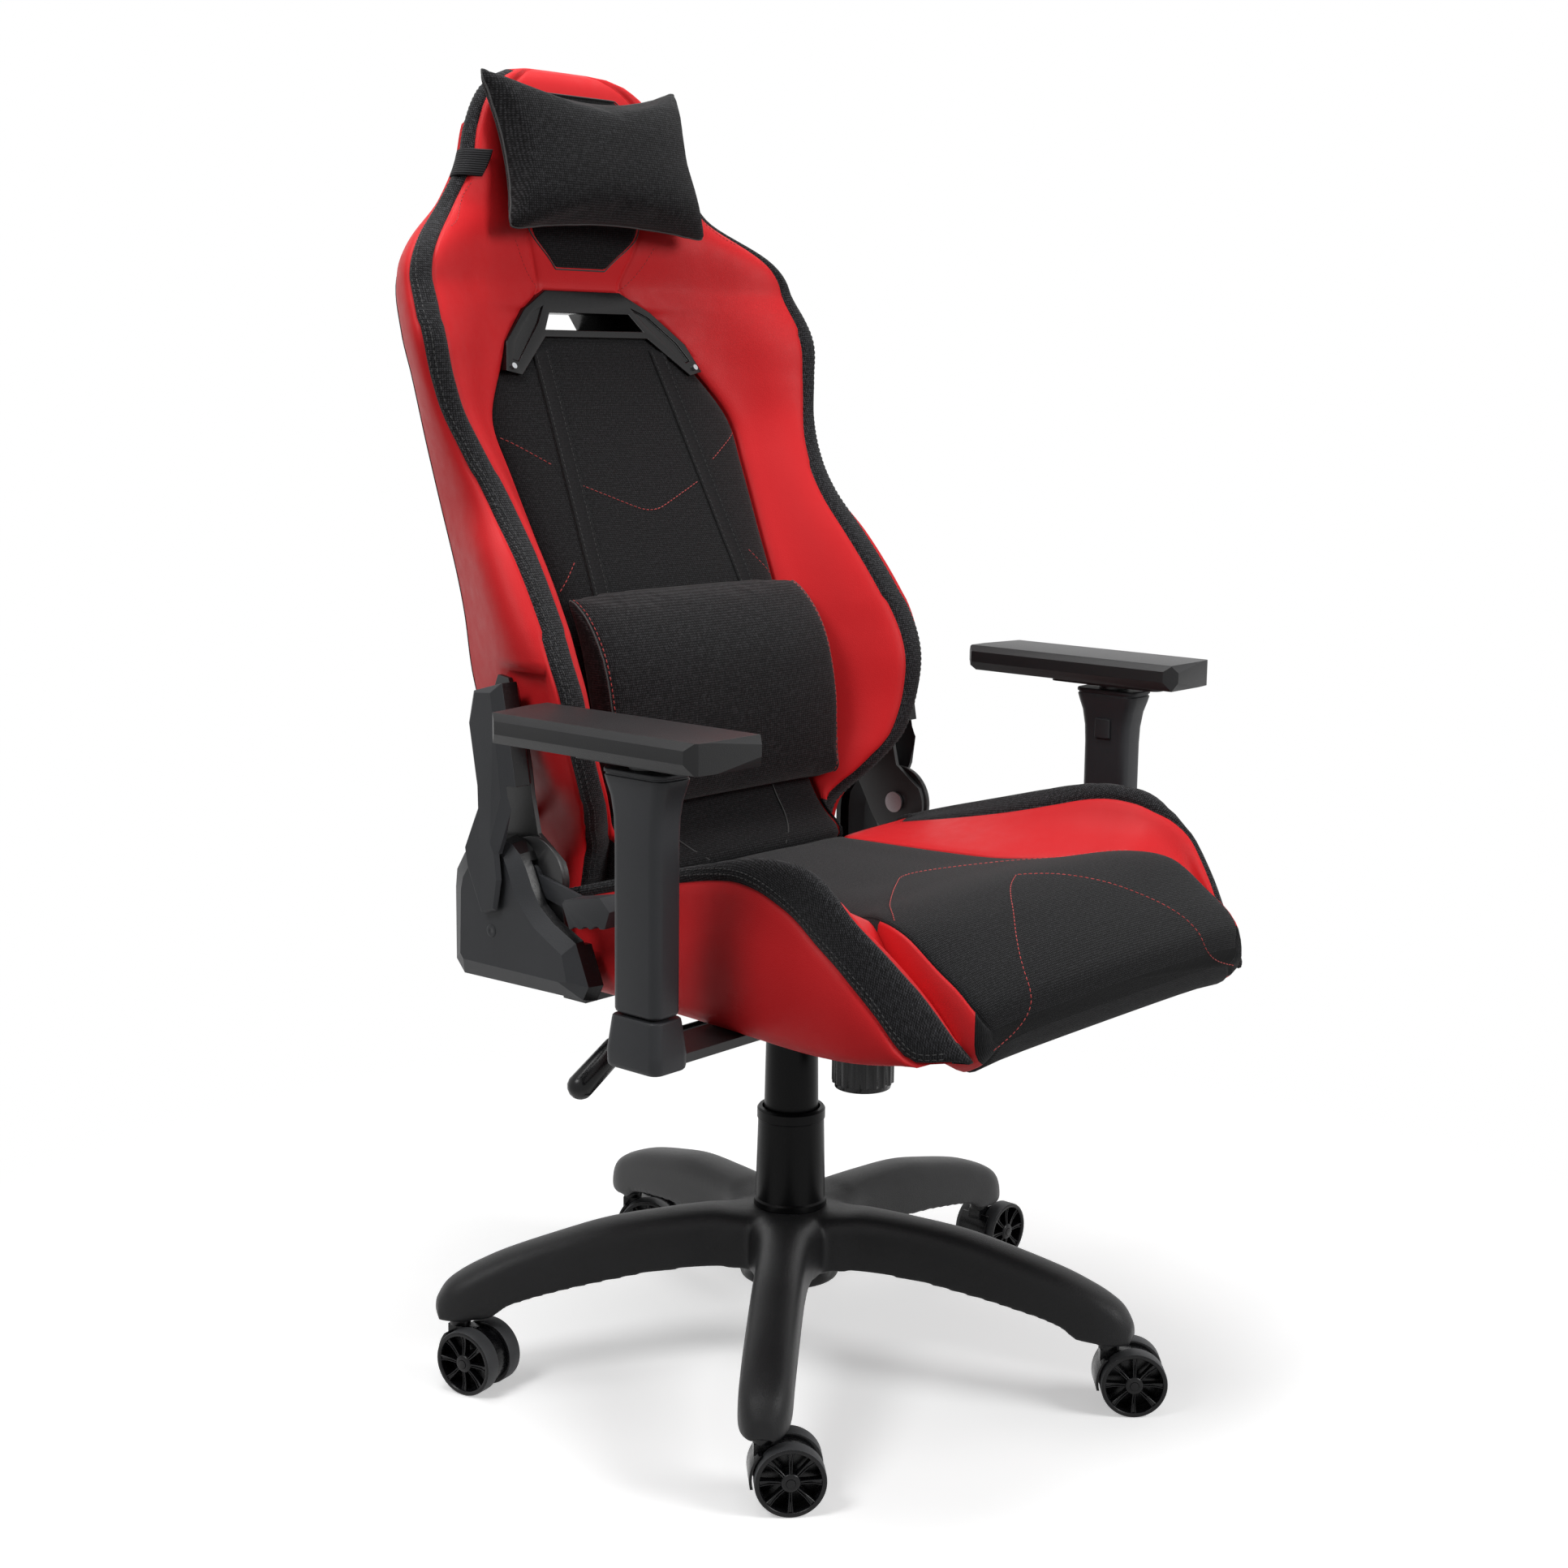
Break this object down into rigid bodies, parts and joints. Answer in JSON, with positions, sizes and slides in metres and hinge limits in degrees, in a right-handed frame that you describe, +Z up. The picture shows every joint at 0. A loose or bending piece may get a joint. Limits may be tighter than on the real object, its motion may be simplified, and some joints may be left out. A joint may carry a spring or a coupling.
{
  "type": "racing-style swivel chair",
  "caption": "Racing-style swivel chair: bucket seat, reclining winged back with head and lumbar cushions, adjustable arms, gas column and castor base",
  "frame": {"origin": "On the floor under the axis of the column", "axes": "+Z up, the sitter faces -Y, the sitter's right hand is at -X"},
  "size_m": [0.768, 0.747, 1.261],
  "materials": {
    "black_nylon": "moulded, fine grain",
    "castor_nylon": "moulded, satin",
    "satin_plastic": "satin with bevelled edges",
    "black_steel": "powder coated",
    "bright_steel": "zinc plated",
    "red_leatherette": "fine grain, satin",
    "black_weave": "woven, matt",
    "black_leatherette": "fine grain, matt",
    "black_webbing": "elastic webbing"
  },
  "bodies": {
    "base": {"base_star": "black_nylon", "gas_tube": "black_steel", "lower_cover": "black_nylon", "castor_stems": "bright_steel"},
    "spindle": {"piston_rod": "bright_steel", "thrust_bearing": "bright_steel"},
    "column": {"lift_cylinder": "black_steel", "upper_cover": "black_nylon", "mech_housing": "black_steel", "tilt_axle": "bright_steel", "tension_spring": "bright_steel"},
    "seat": {"mech_plate": "black_steel", "seat_frame": "black_steel", "seat_pad": "black_weave", "seat_bolsters": "red_leatherette", "recliner_plates": "black_steel", "lower_side_covers": "satin_plastic", "arm_brackets": "black_steel", "arm_collars": "satin_plastic", "fasteners": "bright_steel"},
    "back": {"back_frame": "black_steel", "recliner_arms": "black_steel", "back_pad": "black_weave", "back_wings": "red_leatherette", "head_section": "red_leatherette", "back_shell": "black_leatherette", "handle_bezel": "black_nylon", "back_straps": "black_leatherette", "upper_side_covers": "satin_plastic", "bezel_screws": "bright_steel"},
    "recline_handle": {"recline_lever": "black_nylon"},
    "slider": {"lock_slider": "bright_steel"},
    "lever": {"lift_lever": "black_nylon"},
    "knob": {"tension_knob": "black_nylon"},
    "right_post": {"arm_r_post": "satin_plastic"},
    "right_button": {"arm_r_button": "black_nylon"},
    "right_plate": {"arm_r_plate": "black_steel"},
    "right_pad": {"arm_r_pad": "black_nylon"},
    "left_post": {"arm_l_post": "satin_plastic"},
    "left_button": {"arm_l_button": "black_nylon"},
    "left_plate": {"arm_l_plate": "black_steel"},
    "left_pad": {"arm_l_pad": "black_nylon"},
    "lumbar": {"lumbar_cushion": "black_weave"},
    "pillow": {"head_pillow": "black_weave", "head_strap": "black_webbing"},
    "castor_1": {"castor_1_yoke": "castor_nylon"},
    "wheel_1a": {"castor_1_wheel_a": "castor_nylon"},
    "wheel_1b": {"castor_1_wheel_b": "castor_nylon"},
    "castor_2": {"castor_2_yoke": "castor_nylon"},
    "wheel_2a": {"castor_2_wheel_a": "castor_nylon"},
    "wheel_2b": {"castor_2_wheel_b": "castor_nylon"},
    "castor_3": {"castor_3_yoke": "castor_nylon"},
    "wheel_3a": {"castor_3_wheel_a": "castor_nylon"},
    "wheel_3b": {"castor_3_wheel_b": "castor_nylon"},
    "castor_4": {"castor_4_yoke": "castor_nylon"},
    "wheel_4a": {"castor_4_wheel_a": "castor_nylon"},
    "wheel_4b": {"castor_4_wheel_b": "castor_nylon"},
    "castor_5": {"castor_5_yoke": "castor_nylon"},
    "wheel_5a": {"castor_5_wheel_a": "castor_nylon"},
    "wheel_5b": {"castor_5_wheel_b": "castor_nylon"}
  },
  "joints": [
    {"name": "seat_swivel", "type": "hinge", "parent": "base", "child": "spindle", "pos_m": [0, 0, 0.1], "axis": [0, 0, 1], "continuous": true},
    {"name": "seat_lift", "type": "slide", "parent": "spindle", "child": "column", "axis": [0, 0, 1], "range_m": [0, 0.08]},
    {"name": "seat_tilt", "type": "hinge", "parent": "column", "child": "seat", "pos_m": [0, 0.025, 0.382], "axis": [-1, 0, 0], "range_deg": [0, 10], "stiffness_Nm_per_rad": 90, "springref_deg": -20.05, "deforming": ["tension_spring"]},
    {"name": "back_recline", "type": "hinge", "parent": "seat", "child": "back", "pos_m": [0, 0.08, 0.515], "axis": [-1, 0, 0], "range_deg": [-8, 47]},
    {"name": "recline_release", "type": "hinge", "parent": "seat", "child": "recline_handle", "pos_m": [-0.271, 0.08, 0.515], "axis": [-1, 0, 0], "range_deg": [0, 20], "stiffness_Nm_per_rad": 1.5, "springref_deg": -17.19},
    {"name": "tilt_lock", "type": "slide", "parent": "column", "child": "slider", "axis": [-1, 0, 0], "range_m": [0, 0.01]},
    {"name": "height_release", "type": "hinge", "parent": "slider", "child": "lever", "pos_m": [-0.046, -0.02, 0.37395], "axis": [0, 1, 0], "range_deg": [0, 5], "stiffness_Nm_per_rad": 8, "springref_deg": -5.73},
    {"name": "tilt_tension", "type": "hinge", "parent": "seat", "child": "knob", "pos_m": [0, -0.09, 0.33], "axis": [0, 0, 1], "continuous": true},
    {"name": "right_arm_lift", "type": "slide", "parent": "seat", "child": "right_post", "axis": [0, 0, 1], "range_m": [0, 0.07]},
    {"name": "left_arm_lift", "type": "slide", "parent": "seat", "child": "left_post", "axis": [0, 0, 1], "range_m": [0, 0.07]},
    {"name": "right_pad_turn", "type": "hinge", "parent": "right_post", "child": "right_plate", "pos_m": [-0.342, -0.136, 0.66], "axis": [0, 0, -1], "range_deg": [-18, 18]},
    {"name": "left_pad_turn", "type": "hinge", "parent": "left_post", "child": "left_plate", "pos_m": [0.342, -0.136, 0.66], "axis": [0, 0, 1], "range_deg": [-18, 18]},
    {"name": "right_pad_slide", "type": "slide", "parent": "right_plate", "child": "right_pad", "axis": [0, 1, 0], "range_m": [-0.025, 0.015]},
    {"name": "left_pad_slide", "type": "slide", "parent": "left_plate", "child": "left_pad", "axis": [0, 1, 0], "range_m": [-0.025, 0.015]},
    {"name": "lumbar_slide", "type": "slide", "parent": "back", "child": "lumbar", "axis": [0, 0.1867, 0.9824], "range_m": [0, 0.04]},
    {"name": "pillow_slide", "type": "slide", "parent": "back", "child": "pillow", "axis": [0, 0, 1], "range_m": [0, 0.03]},
    {"name": "right_button_press", "type": "slide", "parent": "right_post", "child": "right_button", "axis": [-1, 0, 0], "range_m": [0, 0.003], "stiffness_N_per_m": 300, "springref_m": -0.01},
    {"name": "left_button_press", "type": "slide", "parent": "left_post", "child": "left_button", "axis": [1, 0, 0], "range_m": [0, 0.003], "stiffness_N_per_m": 300, "springref_m": -0.01},
    {"name": "castor_1_swivel", "type": "hinge", "parent": "base", "child": "castor_1", "pos_m": [0.32693, 0.00685, 0.07], "axis": [0, 0, 1], "continuous": true},
    {"name": "castor_2_swivel", "type": "hinge", "parent": "base", "child": "castor_2", "pos_m": [0.09451, 0.31304, 0.07], "axis": [0, 0, 1], "continuous": true},
    {"name": "castor_3_swivel", "type": "hinge", "parent": "base", "child": "castor_3", "pos_m": [-0.26852, 0.18662, 0.07], "axis": [0, 0, 1], "continuous": true},
    {"name": "castor_4_swivel", "type": "hinge", "parent": "base", "child": "castor_4", "pos_m": [-0.26047, -0.1977, 0.07], "axis": [0, 0, 1], "continuous": true},
    {"name": "castor_5_swivel", "type": "hinge", "parent": "base", "child": "castor_5", "pos_m": [0.10754, -0.30881, 0.07], "axis": [0, 0, 1], "continuous": true},
    {"name": "wheel_1a_spin", "type": "hinge", "parent": "castor_1", "child": "wheel_1a", "pos_m": [0.34893, 0.00685, 0.0315], "axis": [0, 1, 0], "continuous": true},
    {"name": "wheel_1b_spin", "type": "hinge", "parent": "castor_1", "child": "wheel_1b", "pos_m": [0.34893, 0.00685, 0.0315], "axis": [0, 1, 0], "continuous": true},
    {"name": "wheel_2a_spin", "type": "hinge", "parent": "castor_2", "child": "wheel_2a", "pos_m": [0.10584, 0.29419, 0.0315], "axis": [0.8572, 0.515, 0], "continuous": true},
    {"name": "wheel_2b_spin", "type": "hinge", "parent": "castor_2", "child": "wheel_2b", "pos_m": [0.10584, 0.29419, 0.0315], "axis": [0.8572, 0.515, 0], "continuous": true},
    {"name": "wheel_3a_spin", "type": "hinge", "parent": "castor_3", "child": "wheel_3a", "pos_m": [-0.2647, 0.16496, 0.0315], "axis": [0.9848, 0.1736, 0], "continuous": true},
    {"name": "wheel_3b_spin", "type": "hinge", "parent": "castor_3", "child": "wheel_3b", "pos_m": [-0.2647, 0.16496, 0.0315], "axis": [0.9848, 0.1736, 0], "continuous": true},
    {"name": "wheel_4a_spin", "type": "hinge", "parent": "castor_4", "child": "wheel_4a", "pos_m": [-0.24464, -0.21299, 0.0315], "axis": [0.6947, 0.7193, 0], "continuous": true},
    {"name": "wheel_4b_spin", "type": "hinge", "parent": "castor_4", "child": "wheel_4b", "pos_m": [-0.24464, -0.21299, 0.0315], "axis": [0.6947, 0.7193, 0], "continuous": true},
    {"name": "wheel_5a_spin", "type": "hinge", "parent": "castor_5", "child": "wheel_5a", "pos_m": [0.12197, -0.32542, 0.0315], "axis": [0.7547, 0.6561, 0], "continuous": true},
    {"name": "wheel_5b_spin", "type": "hinge", "parent": "castor_5", "child": "wheel_5b", "pos_m": [0.12197, -0.32542, 0.0315], "axis": [0.7547, 0.6561, 0], "continuous": true}
  ]
}
